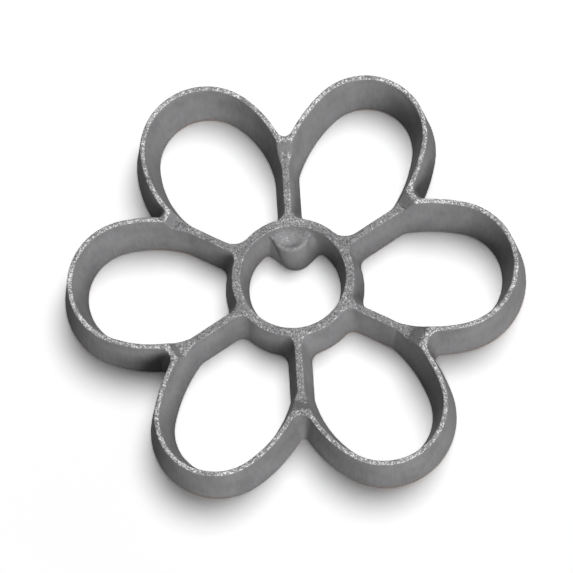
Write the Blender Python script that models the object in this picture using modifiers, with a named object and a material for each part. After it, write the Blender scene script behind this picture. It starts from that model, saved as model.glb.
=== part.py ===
"""Mould of a rosette iron: a six-petal flower cast in one piece of aluminium.

It lies as it does when put down: on its thick foot, with the thin batter rims up.
Metres, +Z up. The axis of the centre ring is the Z axis and the foot lies at Z = 0.
A petal points along +X, and the web that carries the handle boss points along +Y.
"""

import math

import bmesh
import bpy
from mathutils import Vector

# Flower, seen in plan at the level of the rims
PETAL_COUNT = 6
PETAL_REACH = 0.0500
PETAL_GAP = 0.0072
RIM_THICKNESS = 0.00105
SIDE_RADIUS = 0.0272
SHOULDER_REACH = 0.0257
SHOULDER_RADIUS = 0.0029
CROTCH_RADIUS = 0.0023

# The pattern was made by hand, so no two petals are alike. The first value of each row is for the
# petal along +X. A petal's upper side faces the next petal, and its lower side the one before.
PETAL_WIDTH_SHARES = (1.04, 0.975, 1.03, 1.02, 0.94, 0.98)
UPPER_SIDE_SHARES = (1.38, 1.22, 0.82, 0.95, 1.06, 1.22)
LOWER_SIDE_SHARES = (1.06, 1.27, 0.90, 1.06, 1.36, 0.92)
PETAL_TURNS = tuple(math.radians(turn) for turn in (-1.1, -0.3, -0.1, -1.0, -1.0, 0.25))

# The webs differ as well. The first value is for the web between the first petal and the second.
SHOULDER_SHARES = (1.035, 0.985, 0.98, 1.03, 1.01, 1.0)
WEB_SHIFT_SHARES = (-0.10, 0.085, 0.055, -0.11, 0.065, -0.065)
CROTCH_SHARES = (1.13, 0.84, 0.57, 1.13, 1.11, 1.36)
STEP_SHARES = (1.15, 0.95, 0.65, 0.70, 1.20, 1.50)

# Walls: they stand on the foot and lean in towards the rim, so that the batter shell slips off
WALL_HEIGHT = 0.0134
INSIDE_TAPER = 0.0026
OUTSIDE_TAPER = 0.0019
RIM_ROUND = 0.0003
FOOT_ROUND = 0.0004

# Webs and centre ring, whose tops lie below the rims
WEB_DROP = 0.0029
WEB_THICKNESS = 0.00155
STEP_RUN = 0.0023
CORNER_RADIUS = 0.0025
BORE_RADIUS = 0.01175
BORE_TAPER = 0.0016
RING_THICKNESS = 0.0019

# Boss for the handle, on the inner wall of the ring
BOSS_RADIUS = 0.00405
BOSS_TAPER = 0.0012
BOSS_TOP_NOSE_RADIUS = 0.0043
BOSS_SETBACK = 0.0014
BOSS_DROP = 0.0022
BOSS_EDGE_ROUND = 0.0007
BOSS_FLANK_ANGLE = math.radians(44)
BOSS_FILLET_RADIUS = 0.0020
BOSS_BACK_RADIUS = 0.0019
SINK_HALF_WIDTH = 0.0027
SINK_HALF_LENGTH = 0.0013
SINK_DEPTH = 0.0006

# Blind hole for the handle's M5 thread, drilled from the foot side
HOLE_RADIUS = 0.0021
HOLE_SKIN = 0.0012
HOLE_CHAMFER = 0.0005
DRILL_POINT_ANGLE = math.radians(118)

# How far a cutter passes the face that it opens
OVERRUN = 0.0010

# Steps along each arc of an outline, and up each rounded edge
END_STEPS = 10
SIDE_STEPS = 6
SHOULDER_STEPS = 4
CORNER_STEPS = 4
RING_STEPS = 6
CROTCH_STEPS = 6
BORE_STEPS = 48
BOSS_STEPS = 6
BOSS_ROUND_STEPS = 4
FILLET_STEPS = 4
BACK_STEPS = 6
ROUND_STEPS = 2
HOLE_STEPS = 24

SECTOR = 2 * math.pi / PETAL_COUNT
HALF_SECTOR = SECTOR / 2
WEB_TOP = WALL_HEIGHT - WEB_DROP
BOSS_TOP = WEB_TOP - BOSS_DROP
BORE_FOOT_RADIUS = BORE_RADIUS - BORE_TAPER
BOSS_AXIS_Y = BORE_FOOT_RADIUS - BOSS_SETBACK


def polar(centre, radius, angle):
    """Point at an angle on a circle."""
    return centre + radius * Vector((math.cos(angle), math.sin(angle)))


def arc(centre, radius, start, end, steps):
    """Points along an arc, both ends included."""
    return [polar(centre, radius, start + (end - start) * i / steps) for i in range(steps + 1)]


def direction(vector):
    """Angle of a plane vector."""
    return math.atan2(vector.y, vector.x)


def turned(point, angle):
    """Plane point turned about the axis of the flower."""
    return Vector(
        (
            point.x * math.cos(angle) - point.y * math.sin(angle),
            point.x * math.sin(angle) + point.y * math.cos(angle),
        )
    )


def mirrored(point):
    """Plane point mirrored across the middle line of its petal."""
    return Vector((point.x, -point.y))


def circles_meet(centre_a, radius_a, centre_b, radius_b):
    """Point where two circles meet, on the right of the way from the first centre to the second."""
    gap = centre_b - centre_a
    along = (gap.length_squared + radius_a**2 - radius_b**2) / (2 * gap.length)
    aside = math.sqrt(max(radius_a**2 - along**2, 0))
    way = gap.normalized()
    return centre_a + along * way + aside * Vector((way.y, -way.x))


def inside_lean(height):
    """How far an inner face at this height stands in from where it is at the rim."""
    return INSIDE_TAPER * (1 - height / WALL_HEIGHT)


def outside_lean(height):
    """How far an outer face at this height stands out from where it is at the rim."""
    return OUTSIDE_TAPER * (1 - height / WALL_HEIGHT)


class HalfPetal:
    """Half of a petal's opening at rim level, drawn above the petal's middle line.

    An end circle, a side arc inside which the end circle lies, and a shoulder at the web.
    """

    def __init__(self, index, hand):
        tip = PETAL_REACH - RIM_THICKNESS
        room = tip * math.sin(HALF_SECTOR) - RIM_THICKNESS - PETAL_GAP / 2
        self.end_radius = room / (1 + math.sin(HALF_SECTOR)) * PETAL_WIDTH_SHARES[index]
        self.end_centre = polar(
            Vector((0, 0)), tip - self.end_radius, hand * PETAL_TURNS[index]
        )
        side_shares = UPPER_SIDE_SHARES if hand > 0 else LOWER_SIDE_SHARES
        self.side_radius = SIDE_RADIUS * side_shares[index]

        self.web_way = polar(Vector((0, 0)), 1, HALF_SECTOR)
        self.web_normal = Vector((self.web_way.y, -self.web_way.x))
        web_index = index if hand > 0 else index - 1
        shift = WEB_THICKNESS * WEB_SHIFT_SHARES[web_index] * hand
        self.web_half = WEB_THICKNESS / 2 - shift - inside_lean(WEB_TOP)
        self.ring_radius = BORE_RADIUS + RING_THICKNESS - inside_lean(WEB_TOP)

        shoulder_offset = self.web_half + SHOULDER_RADIUS
        shoulder_reach = SHOULDER_REACH * SHOULDER_SHARES[web_index]
        self.shoulder_centre = shoulder_reach * self.web_way + shoulder_offset * self.web_normal
        self.side_centre = circles_meet(
            self.shoulder_centre,
            self.side_radius - SHOULDER_RADIUS,
            self.end_centre,
            self.side_radius - self.end_radius,
        )
        self.end_angle = direction(self.end_centre - self.side_centre)
        self.side_angle = direction(self.shoulder_centre - self.side_centre)

    def corner_centre(self, lean):
        """Centre of the fillet between web and ring."""
        aside = self.web_half + lean + CORNER_RADIUS
        reach = self.ring_radius + lean + CORNER_RADIUS
        return math.sqrt(reach**2 - aside**2) * self.web_way + aside * self.web_normal

    def outline(self, lean):
        """Points from the tip to the ring, with the opening's faces leaning in."""
        web_angle = HALF_SECTOR + math.pi / 2
        points = arc(self.end_centre, self.end_radius - lean, 0, self.end_angle, END_STEPS)
        points += arc(
            self.side_centre, self.side_radius - lean, self.end_angle, self.side_angle, SIDE_STEPS
        )[1:]
        points += arc(
            self.shoulder_centre, SHOULDER_RADIUS - lean, self.side_angle, web_angle, SHOULDER_STEPS
        )[1:]
        corner = self.corner_centre(lean)
        inward = direction(-corner) % (2 * math.pi)
        points += arc(corner, CORNER_RADIUS, web_angle, inward, CORNER_STEPS)
        points += arc(
            Vector((0, 0)), self.ring_radius + lean, direction(corner), 0, RING_STEPS
        )[1:]
        return points


class Petal:
    """Opening of one petal: two halves that meet at its tip and at the ring."""

    def __init__(self, index):
        self.turn = index * SECTOR
        self.upper = HalfPetal(index, 1)
        self.lower = HalfPetal(index, -1)
        self.end_radius = self.upper.end_radius

    def opening(self, lean):
        """Whole outline of the opening, in its place on the flower."""
        lower = [mirrored(point) for point in reversed(self.lower.outline(lean)[1:-1])]
        return [turned(point, self.turn) for point in self.upper.outline(lean) + lower]

    def side_circle(self, upper):
        """Centre of a side arc in its place on the flower."""
        centre = self.upper.side_centre if upper else mirrored(self.lower.side_centre)
        return turned(centre, self.turn)


def crotch_radius(index):
    """Radius of the outer fillet after a petal."""
    return CROTCH_RADIUS * CROTCH_SHARES[index]


def crotch_centre(petals, index, offset):
    """Centre of the outer fillet after a petal, tangent to the sides that face each other there."""
    petal = petals[index]
    following = petals[(index + 1) % PETAL_COUNT]
    return circles_meet(
        petal.side_circle(True),
        petal.upper.side_radius + offset + crotch_radius(index),
        following.side_circle(False),
        following.lower.side_radius + offset + crotch_radius(index),
    )


def flower_outline(petals, offset):
    """Outer outline of all petals, which stands off the openings by the offset."""
    points = []
    for index, petal in enumerate(petals):
        following = petals[(index + 1) % PETAL_COUNT]
        low_crotch = crotch_centre(petals, (index - 1) % PETAL_COUNT, offset)
        high_crotch = crotch_centre(petals, index, offset)
        low_side = petal.side_circle(False)
        high_side = petal.side_circle(True)
        end_centre = turned(petal.upper.end_centre, petal.turn)

        low_start = direction(turned(low_crotch - low_side, -petal.turn))
        high_end = direction(turned(high_crotch - high_side, -petal.turn))
        points += arc(
            low_side,
            petal.lower.side_radius + offset,
            petal.turn + low_start,
            petal.turn - petal.lower.end_angle,
            SIDE_STEPS,
        )
        points += arc(
            end_centre,
            petal.end_radius + offset,
            petal.turn - petal.lower.end_angle,
            petal.turn + petal.upper.end_angle,
            2 * END_STEPS,
        )[1:]
        points += arc(
            high_side,
            petal.upper.side_radius + offset,
            petal.turn + petal.upper.end_angle,
            petal.turn + high_end,
            SIDE_STEPS,
        )[1:]
        back = direction(high_side - high_crotch) % (2 * math.pi)
        sweep = (direction(following.side_circle(False) - high_crotch) - back) % (2 * math.pi)
        points += arc(
            high_crotch, crotch_radius(index), back, back + sweep - 2 * math.pi, CROTCH_STEPS
        )[1:-1]
    return points


def crotch_reaches(petals):
    """How far from the axis the rim stands at each crotch, measured along the web there."""
    return [
        crotch_centre(petals, index, RIM_THICKNESS).length - crotch_radius(index)
        for index in range(PETAL_COUNT)
    ]


def step_outline(reaches, run):
    """Six-sided outline whose side across each web lies inside the crotch by the rim and a run."""
    edges = [reach - RIM_THICKNESS - run * share for reach, share in zip(reaches, STEP_SHARES)]
    points = []
    for index in range(PETAL_COUNT):
        before = edges[index - 1]
        after = edges[index]
        aside = (after - before * math.cos(SECTOR)) / math.sin(SECTOR)
        points.append(turned(Vector((before, aside)), index * SECTOR - HALF_SECTOR))
    return points


def edge_rounds(radius, count=ROUND_STEPS):
    """Height and set-back of each step of a rounded edge, from the flat face to the wall."""
    steps = []
    for i in range(count + 1):
        angle = math.pi / 2 * i / count
        steps.append((radius * (1 - math.cos(angle)), radius * (1 - math.sin(angle))))
    return steps


def loft(name, rings):
    """Closed mesh object through outlines with equal numbers of points, lowest first."""
    mesh = bpy.data.meshes.new(name)
    bm = bmesh.new()
    levels = [[bm.verts.new((p.x, p.y, height)) for p in points] for height, points in rings]
    for low, high in zip(levels, levels[1:]):
        for i, corner in enumerate(low):
            j = (i + 1) % len(low)
            bm.faces.new((corner, low[j], high[j], high[i]))
    bm.faces.new(list(reversed(levels[0])))
    bm.faces.new(levels[-1])
    bm.to_mesh(mesh)
    bm.free()
    return bpy.data.objects.new(name, mesh)


def turned_solid(name, profile, steps):
    """Closed object turned about its own Z axis from a profile that runs down its outer side."""
    mesh = bpy.data.meshes.new(name)
    points = [(radius, 0, height) for radius, height in profile]
    mesh.from_pydata(points, [(i, i + 1) for i in range(len(points) - 1)], [])
    obj = bpy.data.objects.new(name, mesh)
    screw = obj.modifiers.new("turn", "SCREW")
    screw.steps = steps
    screw.render_steps = steps
    screw.use_merge_vertices = True
    screw.merge_threshold = 0.00001
    return obj


def casting_body(petals):
    """Solid flower with drafted outer walls, and with its rim and foot edges rounded."""
    rings = []
    for rise, back in edge_rounds(FOOT_ROUND):
        offset = RIM_THICKNESS + outside_lean(rise) - back
        rings.append((rise, flower_outline(petals, offset)))
    for drop, back in reversed(edge_rounds(RIM_ROUND)):
        height = WALL_HEIGHT - drop
        offset = RIM_THICKNESS + outside_lean(height) - back
        rings.append((height, flower_outline(petals, offset)))
    return loft("mould_casting", rings)


def opening_cutter(index, petal):
    """Drafted opening of a petal, which flares at both faces to round the edges there."""
    rings = [(-OVERRUN, petal.opening(inside_lean(0) - FOOT_ROUND))]
    for rise, back in edge_rounds(FOOT_ROUND):
        rings.append((rise, petal.opening(inside_lean(rise) - back)))
    for drop, back in reversed(edge_rounds(RIM_ROUND)):
        height = WALL_HEIGHT - drop
        rings.append((height, petal.opening(inside_lean(height) - back)))
    rings.append((WALL_HEIGHT + OVERRUN, petal.opening(-RIM_ROUND)))
    return loft(f"opening_cutter_{index + 1}", rings)


def step_cutter(petals):
    """Recess that sets the webs and the ring below the rims, with a sloping step at each crotch."""
    reaches = crotch_reaches(petals)
    rings = [
        (WEB_TOP, step_outline(reaches, STEP_RUN)),
        (WALL_HEIGHT, step_outline(reaches, 0)),
        (WALL_HEIGHT + OVERRUN, step_outline(reaches, 0)),
    ]
    return loft("step_cutter", rings)


def bore_cutter():
    """Drafted bore of the centre ring, turned about the flower's axis."""
    slope = BORE_TAPER / WEB_TOP
    top = WALL_HEIGHT + OVERRUN
    profile = [(0, top), (BORE_RADIUS + slope * (top - WEB_TOP), top)]
    for rise, back in reversed(edge_rounds(FOOT_ROUND)):
        profile.append((BORE_FOOT_RADIUS + slope * rise + back, rise))
    profile += [(BORE_FOOT_RADIUS + FOOT_ROUND, -OVERRUN), (0, -OVERRUN)]
    return turned_solid("bore_cutter", profile, BORE_STEPS)


def bore_radius(height):
    """Radius of the drafted bore at a height."""
    return BORE_FOOT_RADIUS + BORE_TAPER * height / WEB_TOP


def boss_nose(height, back):
    """Centre and radius of the boss's nose, which is blunter at the top than at the foot."""
    share = height / BOSS_TOP
    flank_offset = BOSS_RADIUS - BOSS_TAPER * share
    radius = BOSS_RADIUS + (BOSS_TOP_NOSE_RADIUS - BOSS_RADIUS) * share
    set_in = (radius - flank_offset) / math.sin(BOSS_FLANK_ANGLE)
    return Vector((0, BOSS_AXIS_Y + set_in)), radius - back


def boss_fillet_centre(height, back):
    """Centre of the fillet that is tangent to a flank of the boss and to the bore."""
    centre, nose_radius = boss_nose(height, back)
    flank_way = Vector((math.sin(BOSS_FLANK_ANGLE), math.cos(BOSS_FLANK_ANGLE)))
    flank_normal = Vector((flank_way.y, -flank_way.x))
    start = centre + (nose_radius + BOSS_FILLET_RADIUS) * flank_normal
    reach = bore_radius(height) - BOSS_FILLET_RADIUS
    along = start.dot(flank_way)
    run = math.sqrt(along**2 - start.length_squared + reach**2) - along
    return start + run * flank_way


def closed_at_back(front, height, angle):
    """Outline whose right half starts with the front points and closes inside the ring's wall."""
    behind = bore_radius(height) + RING_THICKNESS / 2
    points = front + arc(Vector((0, 0)), behind, angle, math.pi / 2, FILLET_STEPS)
    left = [Vector((-point.x, point.y)) for point in reversed(points[1:-1])]
    return points + left


def boss_outline(height, back):
    """Outline of the boss: a round nose, spreading flanks, and a fillet from each into the ring."""
    centre, nose_radius = boss_nose(height, back)
    fillet_centre = boss_fillet_centre(height, back)
    front = arc(centre, nose_radius, -math.pi / 2, -BOSS_FLANK_ANGLE, BOSS_STEPS)
    front += arc(
        fillet_centre,
        BOSS_FILLET_RADIUS,
        math.pi - BOSS_FLANK_ANGLE,
        direction(fillet_centre),
        FILLET_STEPS,
    )
    return closed_at_back(front, height, direction(fillet_centre))


def boss():
    """Drafted boss with a rounded top edge."""
    rings = []
    for rise, back in edge_rounds(FOOT_ROUND):
        rings.append((rise, boss_outline(rise, back)))
    for drop, back in reversed(edge_rounds(BOSS_EDGE_ROUND, BOSS_ROUND_STEPS)):
        height = BOSS_TOP - drop
        rings.append((height, boss_outline(height, back)))
    return loft("boss", rings)


def back_fillet_outline(height, set_in):
    """Sickle between the ring's wall and a circle set in from it, over the top of the boss."""
    fillet_centre = boss_fillet_centre(height, BOSS_EDGE_ROUND)
    radius = bore_radius(height) - set_in
    corner = circles_meet(fillet_centre, BOSS_FILLET_RADIUS, Vector((0, 0)), radius)
    front = arc(Vector((0, 0)), radius, math.pi / 2, direction(corner), BOSS_STEPS)
    front += arc(
        fillet_centre,
        BOSS_FILLET_RADIUS,
        direction(corner - fillet_centre),
        direction(fillet_centre),
        FILLET_STEPS,
    )[1:]
    return closed_at_back(front, height, direction(fillet_centre))


def back_fillet():
    """Hollow fillet from the top of the boss up the wall of the ring."""
    rings = [(BOSS_TOP - BOSS_EDGE_ROUND, back_fillet_outline(BOSS_TOP, BOSS_BACK_RADIUS))]
    for rise, set_in in edge_rounds(BOSS_BACK_RADIUS, BACK_STEPS)[:-1]:
        height = BOSS_TOP + rise
        rings.append((height, back_fillet_outline(height, set_in)))
    return loft("back_fillet", rings)


def sink_cutter():
    """Flattened ball that leaves a shallow oval sink in the top of the boss."""
    ball_radius = (SINK_HALF_LENGTH**2 + SINK_DEPTH**2) / (2 * SINK_DEPTH)
    mesh = bpy.data.meshes.new("sink_cutter")
    bm = bmesh.new()
    bmesh.ops.create_uvsphere(
        bm, u_segments=HOLE_STEPS, v_segments=HOLE_STEPS, radius=ball_radius
    )
    bmesh.ops.scale(bm, verts=bm.verts, vec=(SINK_HALF_WIDTH / SINK_HALF_LENGTH, 1, 1))
    bm.to_mesh(mesh)
    bm.free()
    obj = bpy.data.objects.new("sink_cutter", mesh)
    obj.location = (0, BOSS_AXIS_Y, BOSS_TOP + ball_radius - SINK_DEPTH)
    return obj


def handle_hole_cutter():
    """Drilled hole for the handle's thread, with its point and a chamfered mouth."""
    point_rise = HOLE_RADIUS / math.tan(DRILL_POINT_ANGLE / 2)
    point_top = BOSS_TOP - SINK_DEPTH - HOLE_SKIN
    mouth_radius = HOLE_RADIUS + HOLE_CHAMFER
    profile = [
        (0, point_top),
        (HOLE_RADIUS, point_top - point_rise),
        (HOLE_RADIUS, HOLE_CHAMFER),
        (mouth_radius, 0),
        (mouth_radius, -OVERRUN),
        (0, -OVERRUN),
    ]
    obj = turned_solid("handle_hole_cutter", profile, HOLE_STEPS)
    obj.location = (0, BOSS_AXIS_Y, 0)
    return obj


def cast_aluminium():
    """Dull grey of aluminium as it comes from the sand."""
    material = bpy.data.materials.new("cast_aluminium")
    material.use_nodes = True
    shader = material.node_tree.nodes["Principled BSDF"]
    shader.inputs["Base Color"].default_value = (0.30, 0.30, 0.31, 1)
    shader.inputs["Metallic"].default_value = 0.85
    shader.inputs["Roughness"].default_value = 0.5
    return material


def shade(obj, crease=math.radians(35)):
    """Smooth faces that keep edges sharper than the crease angle."""
    obj.data.shade_smooth()
    obj.data.set_sharp_from_angle(angle=crease)


def combine(body, tool, operation):
    """Boolean step on the casting, which stays editable."""
    step = body.modifiers.new(tool.name, "BOOLEAN")
    step.operation = operation
    step.object = tool
    step.solver = "EXACT"


def build():
    """The whole casting, with its cutters in a collection of their own."""
    for obj in list(bpy.data.objects):
        bpy.data.objects.remove(obj, do_unlink=True)
    parts = bpy.data.collections.new("rosette_iron_mould")
    tools = bpy.data.collections.new("cutters")
    for collection in (parts, tools):
        bpy.context.scene.collection.children.link(collection)

    petals = [Petal(index) for index in range(PETAL_COUNT)]
    body = casting_body(petals)
    body.data.materials.append(cast_aluminium())
    parts.objects.link(body)

    cutters = [opening_cutter(index, petal) for index, petal in enumerate(petals)]
    cutters += [step_cutter(petals), bore_cutter()]
    steps = [(cutter, "DIFFERENCE") for cutter in cutters]
    steps += [(boss(), "UNION"), (back_fillet(), "UNION")]
    steps += [(cutter, "DIFFERENCE") for cutter in (sink_cutter(), handle_hole_cutter())]
    shade(body)
    for tool, operation in steps:
        tools.objects.link(tool)
        tool.hide_render = True
        tool.display_type = "WIRE"
        shade(tool)
        combine(body, tool, operation)


build()
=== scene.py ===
"""Looks of a rosette iron mould: one sand casting in aluminium, lying rims up on a white table.

The casting is built again from the plan of the solid that it stands for, in finer steps. It is
then given the soft edges, the grain and the draw marks of a casting, and its handle hole is
threaded last. Metres, +Z up, in the frame of the solid: a petal points along +X and the handle
boss lies towards +Y.
"""

import itertools
import logging
import math
from dataclasses import dataclass, field
from enum import Enum
from typing import Callable, Sequence, Union

import bmesh
import bpy
import numpy as np
from mathutils import Matrix, Vector


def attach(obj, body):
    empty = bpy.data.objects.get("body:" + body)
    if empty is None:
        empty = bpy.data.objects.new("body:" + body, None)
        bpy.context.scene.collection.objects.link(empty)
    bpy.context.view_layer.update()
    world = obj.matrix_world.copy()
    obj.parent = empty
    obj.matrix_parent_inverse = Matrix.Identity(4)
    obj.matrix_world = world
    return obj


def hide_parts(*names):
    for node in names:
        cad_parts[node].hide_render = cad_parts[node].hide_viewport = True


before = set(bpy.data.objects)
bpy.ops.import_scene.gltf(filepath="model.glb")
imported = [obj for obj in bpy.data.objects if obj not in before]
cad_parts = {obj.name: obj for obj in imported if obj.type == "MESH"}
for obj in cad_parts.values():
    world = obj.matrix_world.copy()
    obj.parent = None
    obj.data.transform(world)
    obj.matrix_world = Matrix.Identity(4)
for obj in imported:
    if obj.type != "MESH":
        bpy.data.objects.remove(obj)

log = logging.getLogger("rosette_iron_mould")

PETAL_COUNT = 6
SECTOR = 2 * math.pi / PETAL_COUNT
HALF_SECTOR = SECTOR / 2
AXIS = np.zeros(2)
MERGE_GAP = 0.000001
WHITE = (1, 1, 1, 1)
HASH_PRIMES = (374761393, 668265263, 2147483647, 1274126177)
HASH_MASK = 0xFFFFFFFF
HASH_TOP = 0xFFFF

Given = Union[float, tuple, bpy.types.NodeSocket]


def way_of(angle: float) -> np.ndarray:
    """Unit vector at an angle in plan."""
    return np.array((math.cos(angle), math.sin(angle)))


def angle_of(vector: np.ndarray) -> float:
    """Angle of a vector in plan."""
    return math.atan2(vector[1], vector[0])


def mirrored(points: np.ndarray) -> np.ndarray:
    """Points in plan, mirrored across the middle line of their petal."""
    return points * (1, -1)


def turned(points: np.ndarray, angle: float) -> np.ndarray:
    """Points in plan, turned about the axis of the flower.

    Args:
        points: one point or many.
        angle: turn in radians, counter-clockwise.

    Returns:
        The turned points, in an array of the same shape.
    """
    along, across = way_of(angle), way_of(angle + math.pi / 2)
    return points @ np.array((along, across))


def arc(centre: np.ndarray, radius: float, start: float, end: float, steps: int) -> np.ndarray:
    """Points along an arc in plan, both ends included.

    Args:
        centre: centre of the arc.
        radius: radius of the arc.
        start: angle of the first point.
        end: angle of the last point.
        steps: number of chords.

    Returns:
        An array of steps + 1 points.
    """
    angles = np.linspace(start, end, steps + 1)
    return centre + radius * np.stack((np.cos(angles), np.sin(angles)), axis=1)


def circles_meet(
    centre_a: np.ndarray, radius_a: float, centre_b: np.ndarray, radius_b: float
) -> np.ndarray:
    """Point where two circles meet, on the right of the way from the first centre to the second.

    Args:
        centre_a: centre of the first circle.
        radius_a: radius of the first circle.
        centre_b: centre of the second circle.
        radius_b: radius of the second circle.

    Returns:
        The point in plan.
    """
    gap = centre_b - centre_a
    length = np.linalg.norm(gap)
    along = (length**2 + radius_a**2 - radius_b**2) / (2 * length)
    aside = math.sqrt(max(radius_a**2 - along**2, 0))
    way = gap / length
    return centre_a + along * way + aside * np.array((way[1], -way[0]))


def edge_rounds(radius: float, steps: int = 6) -> list[tuple[float, float]]:
    """Height and set-back of each step of a rounded edge, from the flat face to the wall.

    Args:
        radius: radius of the edge.
        steps: number of chords over the quarter circle.

    Returns:
        Pairs of the distance below the flat face and the distance in from the wall.
    """
    angles = [math.pi / 2 * i / steps for i in range(steps + 1)]
    return [(radius * (1 - math.cos(a)), radius * (1 - math.sin(a))) for a in angles]


def loft(name: str, rings: Sequence[tuple[float, np.ndarray]]) -> bpy.types.Object:
    """Closed mesh object through outlines with equal numbers of points.

    Args:
        name: name of the object.
        rings: pairs of a height and an outline in plan, lowest first.

    Returns:
        The object, linked to the scene.
    """
    bm = bmesh.new()
    levels = [[bm.verts.new((x, y, height)) for x, y in points] for height, points in rings]
    for low, high in zip(levels, levels[1:]):
        for i, corner in enumerate(low):
            j = (i + 1) % len(low)
            bm.faces.new((corner, low[j], high[j], high[i]))
    bm.faces.new(list(reversed(levels[0])))
    bm.faces.new(levels[-1])
    return object_from(name, bm)


def object_from(name: str, bm: bmesh.types.BMesh) -> bpy.types.Object:
    """Object with the mesh of a bmesh, which is freed.

    Args:
        name: name of the object and of its mesh.
        bm: the finished bmesh.

    Returns:
        The object, linked to the scene.
    """
    mesh = bpy.data.meshes.new(name)
    bm.to_mesh(mesh)
    bm.free()
    obj = bpy.data.objects.new(name, mesh)
    bpy.context.scene.collection.objects.link(obj)
    return obj


def turned_solid(name: str, profile: Sequence[tuple[float, float]], steps: int) -> bpy.types.Object:
    """Closed object turned about the Z axis.

    Args:
        name: name of the object.
        profile: pairs of radius and height, from the top down its outer side.
        steps: number of steps of the turn.

    Returns:
        The object, linked to the scene.
    """
    bm = bmesh.new()
    chain = [bm.verts.new((radius, 0, height)) for radius, height in profile]
    edges = [bm.edges.new(pair) for pair in zip(chain, chain[1:])]
    bmesh.ops.spin(
        bm,
        geom=chain + edges,
        axis=(0, 0, 1),
        cent=(0, 0, 0),
        steps=steps,
        angle=2 * math.pi,
        use_merge=True,
    )
    bmesh.ops.remove_doubles(bm, verts=bm.verts, dist=MERGE_GAP)
    bmesh.ops.recalc_face_normals(bm, faces=bm.faces)
    return object_from(name, bm)


def shaped(body: bpy.types.Object, apply: Callable[[bpy.types.Object], None]) -> None:
    """Adds modifiers to an object and settles them into its mesh.

    Args:
        body: the object.
        apply: adds the modifiers to it.
    """
    apply(body)
    depsgraph = bpy.context.evaluated_depsgraph_get()
    mesh = bpy.data.meshes.new_from_object(body.evaluated_get(depsgraph), depsgraph=depsgraph)
    body.modifiers.clear()
    old = body.data
    body.data = mesh
    bpy.data.meshes.remove(old)


class Joining(Enum):
    """How a tool works on the body."""

    ADD = "UNION"
    CUT = "DIFFERENCE"


def combined(body: bpy.types.Object, tool: bpy.types.Object, how: Joining) -> None:
    """Joins a tool to a body or cuts it out, and removes the tool.

    Args:
        body: the object that stays.
        tool: the object that is used up.
        how: whether the tool is added or cut out.
    """

    def add(obj: bpy.types.Object) -> None:
        """Adds the Boolean modifier.

        Args:
            obj: the object that gets it.
        """
        step = obj.modifiers.new(tool.name, "BOOLEAN")
        step.operation = how.value
        step.object = tool
        step.solver = "EXACT"

    shaped(body, add)
    mesh = tool.data
    bpy.data.objects.remove(tool)
    bpy.data.meshes.remove(mesh)


def noise(points: np.ndarray, cell: float, seed: int) -> np.ndarray:
    """Smooth noise in space.

    Args:
        points: an array of points.
        cell: distance between the grid points that hold the random values.
        seed: picks one noise from many.

    Returns:
        A value from -1 to 1 for each point.
    """
    grid = points / cell
    base = np.floor(grid).astype(np.int64)
    share = grid - base
    share = share * share * (3 - 2 * share)
    total = np.zeros(len(points))
    for corner in itertools.product((0, 1), repeat=3):
        at = (base + corner) * HASH_PRIMES[:3]
        key = (at.sum(axis=1) + seed * HASH_PRIMES[3]) & HASH_MASK
        key = ((key ^ (key >> 13)) * HASH_PRIMES[3]) & HASH_MASK
        value = ((key ^ (key >> 16)) & HASH_TOP) / (HASH_TOP // 2) - 1
        total += np.prod(np.where(corner, share, 1 - share), axis=1) * value
    return total


def ramp(values: np.ndarray, low: float, high: float) -> np.ndarray:
    """Smooth ramp of values, from 0 at low to 1 at high."""
    share = np.clip((values - low) / (high - low), 0, 1)
    return share * share * (3 - 2 * share)


@dataclass(frozen=True)
class PlanSteps:
    """Chords along each arc of the plan."""

    end: int = 36
    side: int = 14
    shoulder: int = 10
    corner: int = 10
    ring: int = 20
    crotch: int = 10


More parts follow.
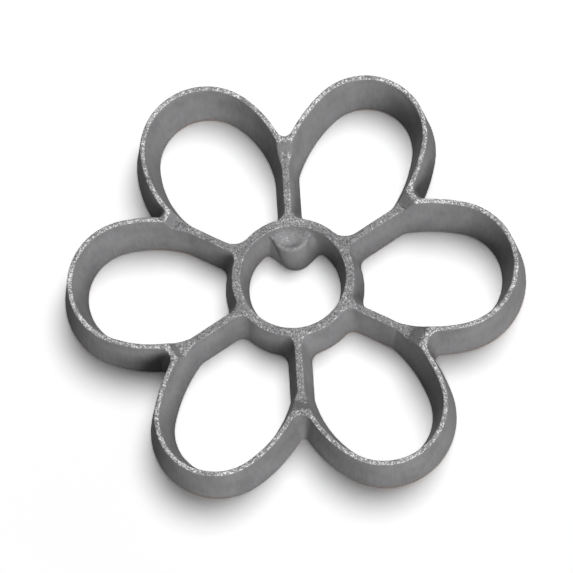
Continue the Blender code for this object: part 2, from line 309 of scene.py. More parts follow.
@dataclass(frozen=True)
class FlowerPlan:
    """Plan of the flower at the level of its rims, and the lean of its walls.

    Shares make each petal or web a little different. They are counted counter-clockwise, from the
    petal along +X and from the web after it. A petal's upper half is the counter-clockwise one.
    """

    petal_reach: float = 0.0500
    petal_gap: float = 0.0072
    rim_thickness: float = 0.00105
    side_radius: float = 0.0272
    shoulder_reach: float = 0.0257
    shoulder_radius: float = 0.0029
    crotch_radius: float = 0.0023
    crotch_foot_share: float = 0.35
    width_shares: tuple[float, ...] = (1.04, 0.975, 1.03, 1.02, 0.94, 0.98)
    upper_side_shares: tuple[float, ...] = (1.38, 1.22, 0.82, 0.95, 1.06, 1.22)
    lower_side_shares: tuple[float, ...] = (1.06, 1.27, 0.90, 1.06, 1.36, 0.92)
    petal_turns: tuple[float, ...] = (-1.1, -0.3, -0.1, -1.0, -1.0, 0.25)
    upper_corner_shares: tuple[float, ...] = (1.0, 1.0, 1.7, 1.0, 1.0, 1.0)
    lower_corner_shares: tuple[float, ...] = (1.0, 1.7, 1.0, 1.0, 1.0, 1.0)
    upper_shoulder_shares: tuple[float, ...] = (2.4, 2.4, 1.0, 1.0, 1.0, 1.0)
    shoulder_shares: tuple[float, ...] = (1.035, 0.985, 0.98, 1.03, 1.01, 1.0)
    web_shift_shares: tuple[float, ...] = (-0.10, 0.085, 0.055, -0.11, 0.065, -0.065)
    crotch_shares: tuple[float, ...] = (1.13, 0.84, 0.57, 1.13, 1.11, 1.36)
    step_shares: tuple[float, ...] = (1.15, 0.95, 0.65, 0.70, 1.20, 1.50)
    wall_height: float = 0.0134
    inside_taper: float = 0.0026
    outside_taper: float = 0.0019
    web_drop: float = 0.0029
    web_thickness: float = 0.00155
    step_run: float = 0.0023
    corner_radius: float = 0.0025
    bore_radius: float = 0.01175
    bore_taper: float = 0.0016
    ring_thickness: float = 0.0019
    steps: PlanSteps = field(default_factory=PlanSteps)

    @property
    def web_top(self) -> float:
        """Height of the tops of the webs and of the ring."""
        return self.wall_height - self.web_drop

    @property
    def bore_foot_radius(self) -> float:
        """Radius of the bore at the foot."""
        return self.bore_radius - self.bore_taper

    def inside_lean(self, height: float) -> float:
        """How far an inner face at this height stands in from where it is at the rim."""
        return self.inside_taper * (1 - height / self.wall_height)

    def outside_lean(self, height: float) -> float:
        """How far an outer face at this height stands out from where it is at the rim."""
        return self.outside_taper * (1 - height / self.wall_height)

    def petals(self) -> list["Petal"]:
        """The six petals, counter-clockwise from +X."""
        return [Petal(self, index) for index in range(PETAL_COUNT)]

    def bore_radius_at(self, height: float) -> float:
        """Radius of the drafted bore at a height."""
        return self.bore_foot_radius + self.bore_taper * height / self.web_top

    def crotch_radius_at(self, index: int, height: float) -> float:
        """Radius of the outer fillet after a petal, which gets smaller towards the foot.

        Args:
            index: number of the petal before the fillet.
            height: height above the foot.

        Returns:
            The radius.
        """
        share = height / self.wall_height
        share += (1 - share) * self.crotch_foot_share
        return self.crotch_radius * self.crotch_shares[index] * share

    def crotch_centre(
        self, petals: Sequence["Petal"], index: int, height: float, offset: float
    ) -> np.ndarray:
        """Centre of the outer fillet after a petal.

        Args:
            petals: the six petals.
            index: number of the petal before the fillet.
            height: height above the foot.
            offset: how far the outer wall stands off the openings.

        Returns:
            The centre in plan, tangent to the sides that face each other there.
        """
        petal, following = petals[index], petals[(index + 1) % PETAL_COUNT]
        away = offset + self.crotch_radius_at(index, height)
        return circles_meet(
            petal.side_centre(True),
            petal.upper.side_radius + away,
            following.side_centre(False),
            following.lower.side_radius + away,
        )

    def outline(self, petals: Sequence["Petal"], height: float, back: float) -> np.ndarray:
        """Outer outline of all petals.

        Args:
            petals: the six petals.
            height: height of the outline above the foot.
            back: set-back of a rounded edge.

        Returns:
            The points of the outline, counter-clockwise.
        """
        offset = self.rim_thickness + self.outside_lean(height) - back
        parts = []
        for index, petal in enumerate(petals):
            following = petals[(index + 1) % PETAL_COUNT]
            low_crotch = self.crotch_centre(petals, (index - 1) % PETAL_COUNT, height, offset)
            high_crotch = self.crotch_centre(petals, index, height, offset)
            crotch_radius = self.crotch_radius_at(index, height)
            low_side, high_side = petal.side_centre(False), petal.side_centre(True)
            low_radius, high_radius = (half.side_radius + offset for half in petal.halves)
            turn = petal.turn
            start = turn + angle_of(turned(low_crotch - low_side, -turn))
            stop = turn + angle_of(turned(high_crotch - high_side, -turn))
            low_end, high_end = turn - petal.lower.end_angle, turn + petal.upper.end_angle
            end_centre = turned(petal.upper.end_centre, turn)
            end_radius = petal.end_radius + offset
            back = angle_of(high_side - high_crotch) % (2 * math.pi)
            onward = angle_of(following.side_centre(False) - high_crotch)
            sweep = (onward - back) % (2 * math.pi) - 2 * math.pi
            parts += [
                arc(low_side, low_radius, start, low_end, self.steps.side),
                arc(end_centre, end_radius, low_end, high_end, 2 * self.steps.end)[1:],
                arc(high_side, high_radius, high_end, stop, self.steps.side)[1:],
                arc(high_crotch, crotch_radius, back, back + sweep, self.steps.crotch)[1:-1],
            ]
        return np.concatenate(parts)

    def step_outline(self, petals: Sequence["Petal"], run: float) -> np.ndarray:
        """Six-sided outline of the recess over the webs.

        Args:
            petals: the six petals.
            run: how far the outline lies inside the rims at the crotches.

        Returns:
            The six corners in plan.
        """
        reaches = []
        for index, share in enumerate(self.step_shares):
            centre = self.crotch_centre(petals, index, self.wall_height, self.rim_thickness)
            reach = float(np.linalg.norm(centre))
            reach -= self.crotch_radius_at(index, self.wall_height)
            reaches.append(reach - self.rim_thickness - run * share)
        corners = []
        for index, after in enumerate(reaches):
            before = reaches[index - 1]
            aside = (after - before * math.cos(SECTOR)) / math.sin(SECTOR)
            corners.append(turned(np.array((before, aside)), index * SECTOR - HALF_SECTOR))
        return np.array(corners)


class HalfPetal:
    """Half of a petal's opening at rim level, drawn above the petal's middle line."""

    def __init__(self, plan: FlowerPlan, index: int, hand: int) -> None:
        """Works out the arcs.

        Args:
            plan: the plan of the flower.
            index: number of the petal, from 0.
            hand: 1 for the half on the counter-clockwise side, -1 for the other.
        """
        self.plan = plan
        tip = plan.petal_reach - plan.rim_thickness
        room = tip * math.sin(HALF_SECTOR) - plan.rim_thickness - plan.petal_gap / 2
        self.end_radius = room / (1 + math.sin(HALF_SECTOR)) * plan.width_shares[index]
        turn = hand * math.radians(plan.petal_turns[index])
        self.end_centre = (tip - self.end_radius) * way_of(turn)
        side_shares = plan.upper_side_shares if hand > 0 else plan.lower_side_shares
        self.side_radius = plan.side_radius * side_shares[index]

        self.web_way = way_of(HALF_SECTOR)
        self.web_normal = way_of(HALF_SECTOR - math.pi / 2)
        web = index if hand > 0 else index - 1
        corner_shares = plan.upper_corner_shares if hand > 0 else plan.lower_corner_shares
        self.corner_radius = plan.corner_radius * corner_shares[index]
        shift = hand * plan.web_thickness * plan.web_shift_shares[web]
        self.web_half = plan.web_thickness / 2 - shift - plan.inside_lean(plan.web_top)
        self.ring_radius = (
            plan.bore_radius + plan.ring_thickness - plan.inside_lean(plan.web_top)
        )
        self.shoulder_radius = plan.shoulder_radius
        if hand > 0:
            self.shoulder_radius *= plan.upper_shoulder_shares[index]
        offset = self.web_half + self.shoulder_radius
        shoulder_reach = plan.shoulder_reach * plan.shoulder_shares[web]
        self.shoulder_centre = shoulder_reach * self.web_way + offset * self.web_normal
        self.side_centre = circles_meet(
            self.shoulder_centre,
            self.side_radius - self.shoulder_radius,
            self.end_centre,
            self.side_radius - self.end_radius,
        )
        self.end_angle = angle_of(self.end_centre - self.side_centre)
        self.side_angle = angle_of(self.shoulder_centre - self.side_centre)

    def outline(self, lean: float) -> np.ndarray:
        """Outline from the tip to the ring.

        Args:
            lean: how far the opening's faces stand in.

        Returns:
            The points in plan, before the petal is turned into place.
        """
        plan, steps = self.plan, self.plan.steps
        web_angle = HALF_SECTOR + math.pi / 2
        aside = self.web_half + lean + self.corner_radius
        reach = self.ring_radius + lean + self.corner_radius
        corner = math.sqrt(reach**2 - aside**2) * self.web_way + aside * self.web_normal
        inward = angle_of(-corner) % (2 * math.pi)
        shoulder = self.shoulder_radius - lean
        side = self.side_radius - lean
        parts = [
            arc(self.end_centre, self.end_radius - lean, 0, self.end_angle, steps.end),
            arc(self.side_centre, side, self.end_angle, self.side_angle, steps.side)[1:],
            arc(self.shoulder_centre, shoulder, self.side_angle, web_angle, steps.shoulder)[1:],
            arc(corner, self.corner_radius, web_angle, inward, steps.corner),
            arc(AXIS, self.ring_radius + lean, angle_of(corner), 0, steps.ring)[1:],
        ]
        return np.concatenate(parts)


class Petal:
    """Opening of one petal: two halves that meet at its tip and at the ring."""

    def __init__(self, plan: FlowerPlan, index: int) -> None:
        """Works out both halves.

        Args:
            plan: the plan of the flower.
            index: number of the petal, from 0.
        """
        self.turn = index * SECTOR
        self.upper = HalfPetal(plan, index, 1)
        self.lower = HalfPetal(plan, index, -1)
        self.halves = (self.lower, self.upper)
        self.end_radius = self.upper.end_radius

    def opening(self, lean: float) -> np.ndarray:
        """Whole outline of the opening, in its place, with its faces leaning in."""
        lower = mirrored(self.lower.outline(lean)[1:-1])[::-1]
        return turned(np.concatenate((self.upper.outline(lean), lower)), self.turn)

    def side_centre(self, upper: bool) -> np.ndarray:
        """Centre of the side arc on the counter-clockwise side, or on the other."""
        centre = self.upper.side_centre if upper else mirrored(self.lower.side_centre)
        return turned(centre, self.turn)


@dataclass
class HandleBoss:
    """Boss on the inner wall of the ring, with the sink that the metal left in its top."""

    plan: FlowerPlan
    nose_radii: tuple[float, float] = (0.0043, 0.0042)
    nose_shift: float = 0.0007
    top_set_in: float = 0.0020
    setback: float = 0.0014
    drop: float = 0.0022
    edge_round: float = 0.0006
    foot_round: float = 0.0004
    flank_angles: tuple[float, float] = (math.radians(50), math.radians(18))
    fillet_radii: tuple[float, float] = (0.0009, 0.0005)
    back_radius: float = 0.0019
    back_steps: int = 10
    sink_half_width: float = 0.0027
    sink_half_length: float = 0.0013
    sink_depth: float = 0.0006
    steps: int = 24

    @property
    def top(self) -> float:
        """Height of the top of the boss."""
        return self.plan.web_top - self.drop

    @property
    def axis_y(self) -> float:
        """Distance of the boss from the axis of the flower."""
        return self.plan.bore_foot_radius - self.setback

    def at(self, height: float, pair: tuple[float, float]) -> float:
        """Value at a height, from a pair that holds it for the foot and for the top."""
        return pair[0] + (pair[1] - pair[0]) * height / self.top

    def nose_centre(self, height: float, hand: int) -> np.ndarray:
        """Centre of the nose, which leans to the right at the foot.

        Args:
            height: height above the foot.
            hand: 1 for the nose as it is, -1 for its mirror image.

        Returns:
            The centre in plan.
        """
        share = height / self.top
        aside = hand * self.nose_shift * (1 - share)
        return np.array((aside, self.axis_y + self.top_set_in * share))

    def fillet_centre(self, height: float, back: float, hand: int) -> np.ndarray:
        """Centre of the fillet between one flank and the ring, drawn on the right.

        Args:
            height: height above the foot.
            back: set-back of a rounded edge.
            hand: 1 for the right flank, -1 for the left one.

        Returns:
            The centre in plan.
        """
        flank = self.at(height, self.flank_angles)
        fillet = self.at(height, self.fillet_radii)
        way, normal = way_of(math.pi / 2 - flank), way_of(-flank)
        away = self.at(height, self.nose_radii) - back + fillet
        start = self.nose_centre(height, hand) + away * normal
        along = start @ way
        reach = self.plan.bore_radius_at(height) - fillet
        return start + (math.sqrt(along**2 - start @ start + reach**2) - along) * way

    def closed_at_back(
        self, sides: Sequence[tuple[np.ndarray, float]], height: float
    ) -> np.ndarray:
        """Whole outline from the points of its two sides, both drawn on the right.

        Args:
            sides: points up to the ring, and the angle at which they meet it; right side first.
            height: height of the outline above the foot.

        Returns:
            The points in plan, closed inside the wall, counter-clockwise.
        """
        behind = self.plan.bore_radius_at(height) + self.plan.ring_thickness / 2
        right, left = (
            np.concatenate((front, arc(AXIS, behind, angle, math.pi / 2, self.steps)))
            for front, angle in sides
        )
        return np.concatenate((right, left[1:-1][::-1] * (-1, 1)))

    def outline(self, height: float, back: float) -> np.ndarray:
        """Outline of the boss: a round nose, spreading flanks and a fillet from each to the ring.

        Args:
            height: height of the outline above the foot.
            back: set-back of a rounded edge.

        Returns:
            The points in plan, counter-clockwise.
        """
        flank = self.at(height, self.flank_angles)
        radius = self.at(height, self.nose_radii) - back
        sides = []
        for hand in (1, -1):
            fillet = self.fillet_centre(height, back, hand)
            meet = angle_of(fillet)
            turn = self.at(height, self.fillet_radii)
            front = (
                arc(self.nose_centre(height, hand), radius, -math.pi / 2, -flank, self.steps),
                arc(fillet, turn, math.pi - flank, meet, self.steps),
            )
            sides.append((np.concatenate(front), meet))
        return self.closed_at_back(sides, height)

    def back_outline(self, height: float, set_in: float) -> np.ndarray:
        """Sickle between the ring's wall and a circle set in from it.

        Args:
            height: height of the outline above the foot.
            set_in: distance of the circle from the wall.

        Returns:
            The points in plan.
        """
        radius = self.plan.bore_radius_at(height) - set_in
        turn = self.at(height, self.fillet_radii)
        sides = []
        for hand in (1, -1):
            fillet = self.fillet_centre(height, self.edge_round, hand)
            corner = circles_meet(fillet, turn, AXIS, radius)
            meet = angle_of(fillet)
            front = (
                arc(AXIS, radius, math.pi / 2, angle_of(corner), self.steps),
                arc(fillet, turn, angle_of(corner - fillet), meet, self.steps)[1:],
            )
            sides.append((np.concatenate(front), meet))
        return self.closed_at_back(sides, height)

    def solid(self) -> bpy.types.Object:
        """Drafted boss with a rounded top edge.

        Returns:
            The solid that is added to the ring.
        """
        rings = [(rise, self.outline(rise, back)) for rise, back in edge_rounds(self.foot_round)]
        for drop, back in reversed(edge_rounds(self.edge_round)):
            rings.append((self.top - drop, self.outline(self.top - drop, back)))
        return loft("boss", rings)

    def back_fillet(self) -> bpy.types.Object:
        """Hollow fillet from the top of the boss up the wall of the ring.

        Returns:
            The solid that is added behind the boss.
        """
        rings = [(self.top - self.edge_round, self.back_outline(self.top, self.back_radius))]
        for rise, set_in in edge_rounds(self.back_radius, self.back_steps)[:-1]:
            rings.append((self.top + rise, self.back_outline(self.top + rise, set_in)))
        return loft("back_fillet", rings)

    def sink(self) -> bpy.types.Object:
        """Flattened ball that leaves the oval sink.

        Returns:
            The tool that is cut out of the top of the boss.
        """
        ball = (self.sink_half_length**2 + self.sink_depth**2) / (2 * self.sink_depth)
        bm = bmesh.new()
        bmesh.ops.create_uvsphere(bm, u_segments=2 * self.steps, v_segments=self.steps, radius=ball)
        wide = self.sink_half_width / self.sink_half_length
        bmesh.ops.scale(bm, verts=bm.verts, vec=(wide, 1, 1))
        lift = (0, self.axis_y, self.top + ball - self.sink_depth)
        bmesh.ops.translate(bm, verts=bm.verts, vec=lift)
        return object_from("sink", bm)


@dataclass
class HandleHole:
    """Blind hole for the handle, threaded M5, which opens on the side that lies down."""

    boss: HandleBoss
    core_radius: float = 0.0021
    major_radius: float = 0.0025
    pitch: float = 0.0008
    skin: float = 0.0012
    chamfer: float = 0.0005
    point_angle: float = math.radians(118)
    flat_share: float = 0.125
    tap_run: float = 0.0010
    overrun: float = 0.0010
    steps: int = 96
    rows_per_pitch: int = 16

    def reach(self, height: float, angle: float, bottom: float) -> float:
        """Radius of the threaded hole.

        Args:
            height: height above the foot.
            angle: angle about the hole's axis.
            bottom: height at which the full bore ends.

        Returns:
            The radius at that place, from the core to the root of the thread.
        """
        phase = (height / self.pitch - angle / (2 * math.pi)) % 1
        slope = (1 + 2 * self.flat_share) * (1 - abs(2 * phase - 1))
        ridge = min(1, max(0, slope - self.flat_share))
        depth = (self.major_radius - self.core_radius) * ridge
        fade = min(1, max(0, (bottom - self.tap_run - height) / self.pitch))
        mouth = max(0, self.chamfer - height)
        return self.core_radius + max(depth * fade, mouth)

    def cutter(self) -> bpy.types.Object:
        """Closed tool with the shape of the threaded hole.

        Returns:
            The tool, which reaches below the foot.
        """
        point_top = self.boss.top - self.boss.sink_depth - self.skin
        bottom = point_top - self.core_radius / math.tan(self.point_angle / 2)
        rows = math.ceil((bottom + self.overrun) / self.pitch * self.rows_per_pitch)
        heights = [-self.overrun + (bottom + self.overrun) * i / rows for i in range(rows + 1)]
        turns = [2 * math.pi * i / self.steps for i in range(self.steps)]
        bm = bmesh.new()
        levels = []
        for height in heights:
            level = []
            for turn in turns:
                radius = self.reach(max(height, 0), turn, bottom)
                x, y = radius * way_of(turn)
                level.append(bm.verts.new((x, y + self.boss.axis_y, height)))
            levels.append(level)
        for low, high in zip(levels, levels[1:]):
            for i, corner in enumerate(low):
                j = (i + 1) % self.steps
                bm.faces.new((corner, low[j], high[j], high[i]))
        bm.faces.new(list(reversed(levels[0])))
        tip = bm.verts.new((0, self.boss.axis_y, point_top))
        for i, corner in enumerate(levels[-1]):
            bm.faces.new((corner, levels[-1][(i + 1) % self.steps], tip))
        return object_from("handle_hole", bm)


class NodeTree:
    """Short way to add and link the nodes of one tree."""

    def __init__(self, tree: bpy.types.NodeTree) -> None:
        """Takes over a tree.

        Args:
            tree: the tree of a material or of the world.
        """
        self.nodes, self.links = tree.nodes, tree.links

    def put(self, value: Given, socket: bpy.types.NodeSocket) -> None:
        """Links a socket to another, or writes a value on it.

        Args:
            value: the other socket or the value.
            socket: the input that takes it.
        """
        if isinstance(value, bpy.types.NodeSocket):
            self.links.new(value, socket)
        else:
            socket.default_value = value

    def node(
        self, kind: str, inputs: dict[Union[str, int], Given], **settings: Union[str, bool]
    ) -> bpy.types.Node:
        """Adds a node.

        Args:
            kind: type of the node.
            inputs: value or socket for each input, by its name or its place.
            settings: other settings of the node, made before its inputs.

        Returns:
            The node.
        """
        node = self.nodes.new(kind)
        for name, setting in settings.items():
            setattr(node, name, setting)
        for name, value in inputs.items():
            self.put(value, node.inputs[name])
        return node

    def math(self, operation: str, first: Given, second: Given) -> bpy.types.NodeSocket:
        """Sum, product or other operation on two values."""
        return self.node("ShaderNodeMath", {0: first, 1: second}, operation=operation).outputs[0]

    def spread(
        self, value: Given, low: float, high: float, start: float = 0, end: float = 1
    ) -> bpy.types.NodeSocket:
        """Maps a value's span onto another, and stops at its ends.

        Args:
            value: the value.
            low: value that gives the start.
            high: value that gives the end.
            start: result at low.
            end: result at high.

        Returns:
            The socket with the result.
        """
        span = {"Value": value, "From Min": low, "From Max": high, "To Min": start, "To Max": end}
        return self.node("ShaderNodeMapRange", span).outputs[0]

    def blend(self, share: Given, first: Given, second: Given) -> bpy.types.NodeSocket:
        """Mix of two colours."""
        inputs = {"Factor": share, "A": first, "B": second}
        return self.node("ShaderNodeMix", inputs, data_type="RGBA").outputs["Result"]

    def mixed(self, share: Given, first: Given, second: Given) -> bpy.types.NodeSocket:
        """Mix of two shaders."""
        return self.node("ShaderNodeMixShader", {0: share, 1: first, 2: second}).outputs[0]

    def noise(self, place: Given, scale: float, detail: float) -> bpy.types.NodeSocket:
        """Cloudy noise at a place."""
        inputs = {"Vector": place, "Scale": scale, "Detail": detail}
        return self.node("ShaderNodeTexNoise", inputs).outputs["Fac"]

    def grit(self, place: Given, scale: float) -> bpy.types.NodeSocket:
        """Small cells with a random value each."""
        cells = self.node("ShaderNodeTexVoronoi", {"Vector": place, "Scale": scale})
        return self.node("ShaderNodeSeparateColor", {0: cells.outputs["Color"]}).outputs[0]

    def seen_or_mirrored(self) -> bpy.types.NodeSocket:
        """Tells rays from the camera, reflections and glass from the rest.

        Returns:
            A socket that is 1 for those rays and 0 for others.
        """
        path = self.node("ShaderNodeLightPath", {})
        total = path.outputs["Is Camera Ray"]
        for name in ("Is Glossy Ray", "Is Transmission Ray"):
            inputs = {0: total, 1: path.outputs[name]}
            total = self.node("ShaderNodeMath", inputs, operation="ADD", use_clamp=True).outputs[0]
        return total


@dataclass(frozen=True)
class CastAluminium:
    """Dull grey of aluminium as it comes from the sand, gritty and worn bright on its top faces,
    with a painted highlight along their convex edges.

    Heights are above the foot. A span holds the values at which a change starts and ends, and the
    salt is the random value that makes the light and dark specks of the top faces.
    """

    slot: str = "cast_aluminium"
    wall_dark: tuple[float, float, float] = (0.150, 0.149, 0.152)
    wall_light: tuple[float, float, float] = (0.192, 0.191, 0.195)
    pit: tuple[float, float, float] = (0.055, 0.055, 0.057)
    grain: tuple[float, float, float] = (0.155, 0.154, 0.157)
    worn: tuple[float, float, float] = (0.60, 0.59, 0.585)
    # browner, darker tint for the lowest part of the walls
    foot_tint: tuple[float, float, float] = (0.20, 0.13, 0.095)
    metallic: float = 0.15
    specular: float = 0.0
    roughness: float = 0.55
    roughness_sway: float = 0.08
    bump_strength: float = 0.35
    bump_depth: float = 0.0001

    cloud_scale: float = 170
    draw_scale: float = 1500
    draw_stretch: float = 0.06
    fine_scale: float = 2600
    grit_scale: float = 4200
    patch_scale: float = 60

    draw_share: float = 0.35
    wall_span: tuple[float, float] = (0.36, 0.64)
    upward_span: tuple[float, float] = (0.30, 0.75)
    # Pointiness span of the convex edges that get the painted highlight
    edge_highlight_span: tuple[float, float] = (0.515, 0.56)
    cloud_span: tuple[float, float] = (0.35, 0.7)
    cloud_lift: tuple[float, float] = (-0.10, 0.06)
    rim_lift: float = 0.10
    # how far the painted highlight lifts the convex edges towards the bright specks
    edge_highlight_lift: float = 0.20
    grit_share: float = 0.55
    pit_span: tuple[float, float] = (0.15, 0.45)
    worn_span: tuple[float, float] = (0.62, 1.0)
    fine_span: tuple[float, float] = (0.3, 0.7)
    patch_span: tuple[float, float] = (0.42, 0.55)

    smooth: float = 0.55
    rim_salt: float = 1.15
    boss_heights: tuple[float, float] = (0.0088, 0.0096)
    step_heights: tuple[float, float] = (0.0107, 0.0111)
    crest_heights: tuple[float, float] = (0.0125, 0.0129)
    rim_heights: tuple[float, float] = (0.0129, 0.0132)
    # height and strength of the tint towards the foot
    foot_tint_height: float = 0.0011
    foot_tint_share: float = 0.8

    def salt(
        self,
        n: NodeTree,
        cloud: bpy.types.NodeSocket,
        fine: bpy.types.NodeSocket,
        grit: bpy.types.NodeSocket,
        height: bpy.types.NodeSocket,
    ) -> bpy.types.NodeSocket:
        """Random value of the top faces: raised on the rims, and on convex edges as a painted
        highlight; even on the boss and the steps.

        Args:
            n: the tree.
            cloud: slow noise.
            fine: fine noise.
            grit: random value of each small cell.
            height: height above the foot.

        Returns:
            The socket with the value.
        """
        # painted highlight: Pointiness picks out the convex edges, which are lifted towards the
        # bright specks
        edge = n.spread(n.node("ShaderNodeNewGeometry", {}).outputs["Pointiness"], *self.edge_highlight_span)
        rim = n.math("MULTIPLY", n.spread(height, *self.rim_heights), self.rim_lift)
        lift = n.math("ADD", n.spread(cloud, *self.cloud_span, *self.cloud_lift), rim)
        lift = n.math("ADD", lift, n.math("MULTIPLY", edge, self.edge_highlight_lift))
        boss = n.spread(height, *self.boss_heights, self.smooth, 1)
        step = n.spread(height, *self.step_heights, 1, self.smooth)
        crest = n.spread(height, *self.crest_heights, self.smooth, self.rim_salt)
        contrast = n.math("MULTIPLY", boss, n.math("MAXIMUM", step, crest))
        salt = n.math("MULTIPLY", grit, self.grit_share)
        salt = n.math("ADD", salt, n.math("MULTIPLY", fine, 1 - self.grit_share))
        salt = n.math("MULTIPLY", n.math("SUBTRACT", salt, 0.5), contrast)
        return n.math("ADD", n.math("ADD", salt, 0.5), lift)

    def material(self) -> bpy.types.Material:
        """Node material of the casting.

        Returns:
            The material, named after its slot.
        """
        material = bpy.data.materials.new(self.slot)
        material.use_nodes = True
        n = NodeTree(material.node_tree)
        shader = n.nodes["Principled BSDF"]
        n.put(self.metallic, shader.inputs["Metallic"])
        n.put(self.specular, shader.inputs["Specular IOR Level"])

        place = n.node("ShaderNodeTexCoord", {})
        where = place.outputs["Object"]
        height = n.node("ShaderNodeSeparateXYZ", {0: where}).outputs[2]
        facing = n.node("ShaderNodeSeparateXYZ", {0: place.outputs["Normal"]}).outputs[2]
        drawn = n.node("ShaderNodeMapping", {"Vector": where, "Scale": (1, 1, self.draw_stretch)})
        cloud = n.noise(where, self.cloud_scale, 3)
        draws = n.noise(drawn.outputs[0], self.draw_scale, 2)
        fine = n.noise(where, self.fine_scale, 2)
        grit = n.grit(where, self.grit_scale)

        tone = n.math("MULTIPLY", cloud, 1 - self.draw_share)
        tone = n.math("ADD", tone, n.math("MULTIPLY", draws, self.draw_share))
        tone = n.spread(tone, *self.wall_span)
        wall = n.blend(tone, (*self.wall_dark, 1), (*self.wall_light, 1))
        salt = self.salt(n, cloud, fine, grit, height)
        top = n.blend(n.spread(salt, *self.pit_span), (*self.pit, 1), (*self.grain, 1))
        top = n.blend(n.spread(salt, *self.worn_span), top, (*self.worn, 1))
        colour = n.blend(n.spread(facing, *self.upward_span), wall, top)
        # darker and browner towards the foot, in patches
        low = n.spread(height, 0, self.foot_tint_height, self.foot_tint_share, 0)
        patch = n.spread(n.noise(where, self.patch_scale, 2), *self.patch_span)
        colour = n.blend(n.math("MULTIPLY", low, patch), colour, (*self.foot_tint, 1))
        n.put(colour, shader.inputs["Base Color"])

        rough_span = self.roughness - self.roughness_sway, self.roughness + self.roughness_sway
        n.put(n.spread(fine, *self.fine_span, *rough_span), shader.inputs["Roughness"])
        relief = {"Strength": self.bump_strength, "Distance": self.bump_depth, "Height": fine}
        n.put(n.node("ShaderNodeBump", relief).outputs["Normal"], shader.inputs["Normal"])
        return material


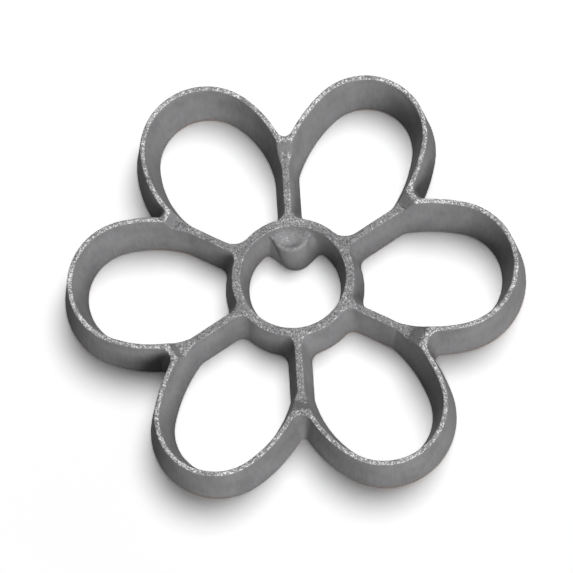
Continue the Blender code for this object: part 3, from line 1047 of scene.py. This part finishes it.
@dataclass
class MouldCasting:
    """The whole casting: petal walls, webs, centre ring and handle boss in one piece."""

    plan: FlowerPlan = field(default_factory=FlowerPlan)
    finish: CastAluminium = field(default_factory=CastAluminium)
    node: str = "mould_casting"
    rim_round: float = 0.0003
    foot_round: float = 0.0004
    overrun: float = 0.0010
    bore_steps: int = 256
    skin_step: float = 0.00026
    ease_share: float = 0.5
    ease_passes: int = 2
    top_grain: float = 0.00009
    wall_grain: float = 0.00002
    grain_cells: tuple[float, float] = (0.0008, 0.00045)
    grain_shares: tuple[float, float] = (0.6, 0.4)
    mark_cell: float = 0.0007
    mark_stretch: float = 0.08
    upward_span: tuple[float, float] = (0.35, 0.8)

    def body(self, petals: Sequence[Petal]) -> bpy.types.Object:
        """Solid flower with drafted outer walls and rounded rim and foot edges.

        Args:
            petals: the six petals.

        Returns:
            The flower, still without its openings.
        """
        plan = self.plan
        rings = []
        for rise, back in edge_rounds(self.foot_round):
            rings.append((rise, plan.outline(petals, rise, back)))
        for drop, back in reversed(edge_rounds(self.rim_round)):
            height = plan.wall_height - drop
            rings.append((height, plan.outline(petals, height, back)))
        return loft(self.node + "_cast", rings)

    def opening(self, petal: Petal) -> bpy.types.Object:
        """Tool for the drafted opening of one petal.

        Args:
            petal: the petal.

        Returns:
            The tool.
        """
        plan = self.plan
        rings = [(-self.overrun, petal.opening(plan.inside_lean(0) - self.foot_round))]
        for rise, back in edge_rounds(self.foot_round):
            rings.append((rise, petal.opening(plan.inside_lean(rise) - back)))
        for drop, back in reversed(edge_rounds(self.rim_round)):
            height = plan.wall_height - drop
            rings.append((height, petal.opening(plan.inside_lean(height) - back)))
        rings.append((plan.wall_height + self.overrun, petal.opening(-self.rim_round)))
        return loft("opening", rings)

    def recess(self, petals: Sequence[Petal]) -> bpy.types.Object:
        """Tool that sets the webs and the ring below the rims.

        Args:
            petals: the six petals.

        Returns:
            The tool, with a slope at the end of each web.
        """
        plan = self.plan
        wide = plan.step_outline(petals, 0)
        return loft(
            "recess",
            [
                (plan.web_top, plan.step_outline(petals, plan.step_run)),
                (plan.wall_height, wide),
                (plan.wall_height + self.overrun, wide),
            ],
        )

    def bore(self) -> bpy.types.Object:
        """Tool for the drafted bore of the ring.

        Returns:
            The tool, with the round of the foot's edge.
        """
        plan = self.plan
        slope = plan.bore_taper / plan.web_top
        top = plan.wall_height + self.overrun
        profile = [(0, top), (plan.bore_foot_radius + slope * top, top)]
        for rise, back in reversed(edge_rounds(self.foot_round)):
            profile.append((plan.bore_foot_radius + slope * rise + back, rise))
        mouth = plan.bore_foot_radius + self.foot_round
        profile += [(mouth, -self.overrun), (0, -self.overrun)]
        return turned_solid("bore", profile, self.bore_steps)

    def eased(self, obj: bpy.types.Object) -> None:
        """Adds the fine even skin and the soft edges of a casting.

        Args:
            obj: the object that gets them.
        """
        skin = obj.modifiers.new("skin", "REMESH")
        skin.mode = "VOXEL"
        skin.voxel_size = self.skin_step
        ease = obj.modifiers.new("ease", "SMOOTH")
        ease.factor = self.ease_share
        ease.iterations = self.ease_passes

    def roughened(self, mesh: bpy.types.Mesh) -> None:
        """Gives the skin its grain and its draw marks, all of them inwards.

        Args:
            mesh: the casting's mesh, whose points are moved.
        """
        count = len(mesh.vertices)
        points, normals = np.empty(count * 3), np.empty(count * 3)
        mesh.vertices.foreach_get("co", points)
        mesh.vertices.foreach_get("normal", normals)
        points, normals = points.reshape(-1, 3), normals.reshape(-1, 3)
        upward = ramp(normals[:, 2], *self.upward_span)
        grain = np.zeros(count)
        for seed, (share, cell) in enumerate(zip(self.grain_shares, self.grain_cells), 1):
            grain += share * noise(points, cell, seed)
        marks = noise(points * (1, 1, self.mark_stretch), self.mark_cell, 3)
        depth = self.top_grain * upward * (0.5 + 0.5 * grain)
        depth += self.wall_grain * (1 - upward) * (1 + marks)
        points -= normals * depth[:, None]
        points[:, 2] = np.clip(points[:, 2], 0, self.plan.wall_height)
        mesh.vertices.foreach_set("co", points.ravel())
        mesh.update()

    def build(self) -> bpy.types.Object:
        """Builds and dresses the casting.

        Returns:
            The casting, which stands for the solid of the same name.
        """
        petals = self.plan.petals()
        boss = HandleBoss(self.plan)
        body = self.body(petals)
        for petal in petals:
            combined(body, self.opening(petal), Joining.CUT)
        combined(body, self.recess(petals), Joining.CUT)
        combined(body, self.bore(), Joining.CUT)
        combined(body, boss.solid(), Joining.ADD)
        combined(body, boss.back_fillet(), Joining.ADD)
        combined(body, boss.sink(), Joining.CUT)
        shaped(body, self.eased)
        self.roughened(body.data)
        combined(body, HandleHole(boss).cutter(), Joining.CUT)
        body.data.shade_smooth()
        body.data.materials.clear()
        body.data.materials.append(self.finish.material())
        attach(body, "root")
        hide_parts(self.node)
        log.info("%s: %d faces", body.name, len(body.data.polygons))
        return body


@dataclass
class Table:
    """White table under the mould, which shows white and keeps the shadow."""

    half_width: float = 3.0
    gap: float = 0.00001
    paint: tuple[float, float, float] = (0.3, 0.3, 0.3)
    shown_paint: tuple[float, float, float] = (1.83, 1.83, 1.83)
    shadow_reach: tuple[float, float] = (0.064, 0.092)

    def build(self) -> bpy.types.Object:
        """Builds the table top.

        Returns:
            The table, which turns to plain white beyond the shadow.
        """
        bm = bmesh.new()
        bmesh.ops.create_grid(bm, x_segments=1, y_segments=1, size=self.half_width)
        bmesh.ops.translate(bm, verts=bm.verts, vec=(0, 0, -self.gap))
        table = object_from("table", bm)
        material = bpy.data.materials.new("white_table")
        material.use_nodes = True
        n = NodeTree(material.node_tree)
        n.nodes.clear()
        paint, bright = (
            n.node("ShaderNodeBsdfDiffuse", {"Color": (*colour, 1)}).outputs[0]
            for colour in (self.paint, self.shown_paint)
        )
        white = n.node("ShaderNodeEmission", {"Color": WHITE, "Strength": 1}).outputs[0]
        place = n.node("ShaderNodeTexCoord", {}).outputs["Object"]
        reach = n.node("ShaderNodeVectorMath", {0: place}, operation="LENGTH").outputs["Value"]
        ground = n.mixed(n.spread(reach, *self.shadow_reach), bright, white)
        shown = n.mixed(n.seen_or_mirrored(), paint, ground)
        n.node("ShaderNodeOutputMaterial", {"Surface": shown})
        table.data.materials.append(material)
        log.info("table")
        return table


@dataclass(frozen=True)
class SoftLamp:
    """Large round lamp that points at the mould."""

    name: str
    azimuth: float
    zenith: float
    size: float
    power: float
    distance: float
    on_table: bool = True

    def build(self, mould: bpy.types.Object) -> None:
        """Places the lamp.

        Args:
            mould: the casting, which a lamp that isn't on the table lights alone.
        """
        lamp = bpy.data.lights.new(self.name, "AREA")
        lamp.shape = "DISK"
        lamp.size = self.size
        lamp.energy = self.power
        obj = bpy.data.objects.new(self.name, lamp)
        bpy.context.scene.collection.objects.link(obj)
        across = math.sin(self.zenith) * way_of(self.azimuth)
        toward = Vector((*across, math.cos(self.zenith)))
        obj.location = toward * self.distance
        obj.rotation_euler = toward.to_track_quat("Z", "Y").to_euler()
        if not self.on_table:
            lit = bpy.data.collections.new(self.name + "_lights")
            lit.objects.link(mould)
            obj.light_linking.receiver_collection = lit
        log.info("%s", self.name)


@dataclass
class Studio:
    """Soft white room with a high lamp behind the mould, and one in front for the mould alone."""

    fill: float = 0.105
    lamps: tuple[SoftLamp, ...] = (
        SoftLamp("key_lamp", math.radians(66), math.radians(25), 0.9, 12.3, 1.5),
        SoftLamp("front_lamp", math.radians(294), math.radians(60), 1.5, 90.0, 2.5, False),
    )

    def build(self, mould: bpy.types.Object) -> None:
        """Builds the room light and the lamps.

        Args:
            mould: the casting.
        """
        world = bpy.data.worlds.new("white_room")
        bpy.context.scene.world = world
        world.use_nodes = True
        n = NodeTree(world.node_tree)
        n.nodes.clear()
        fill, shown = (
            n.node("ShaderNodeBackground", {"Color": WHITE, "Strength": strength}).outputs[0]
            for strength in (self.fill, 1)
        )
        room = n.mixed(n.seen_or_mirrored(), fill, shown)
        n.node("ShaderNodeOutputWorld", {"Surface": room})
        log.info("room light")
        for lamp in self.lamps:
            lamp.build(mould)


@dataclass
class Viewpoint:
    """Camera at the angle of the photograph."""

    azimuth: float = math.radians(-84.05)
    elevation: float = math.radians(73.29)
    roll: float = math.radians(9.912)
    distance: float = 0.7991
    target: tuple[float, float, float] = (-0.0018983, 0.0009620, 0.0)
    lens: float = 223.51
    film: float = 36.0
    near: float = 0.01

    def build(self) -> None:
        """Places the camera and makes it the scene's."""
        camera = bpy.data.cameras.new("photo_view")
        camera.sensor_width = self.film
        camera.lens = self.lens
        camera.clip_start = self.near
        obj = bpy.data.objects.new("photo_view", camera)
        bpy.context.scene.collection.objects.link(obj)
        toward = Vector(
            (
                math.cos(self.elevation) * math.cos(self.azimuth),
                math.cos(self.elevation) * math.sin(self.azimuth),
                math.sin(self.elevation),
            )
        )
        level = Vector((-math.sin(self.azimuth), math.cos(self.azimuth), 0))
        upright = toward.cross(level)
        right = math.cos(self.roll) * level - math.sin(self.roll) * upright
        up = toward.cross(right)
        turn = Matrix((right, up, toward)).transposed().to_4x4()
        place = Vector(self.target) + self.distance * toward
        obj.matrix_world = Matrix.Translation(place) @ turn
        bpy.context.scene.camera = obj
        log.info("camera")


def main() -> None:
    """Builds the mould, the table, the light and the camera."""
    logging.basicConfig(level=logging.INFO, format="%(name)s: %(message)s")
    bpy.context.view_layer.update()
    bpy.context.scene.view_settings.view_transform = "Standard"
    mould = MouldCasting().build()
    Table().build()
    Studio().build(mould)
    Viewpoint().build()


if __name__ == "__main__":
    main()
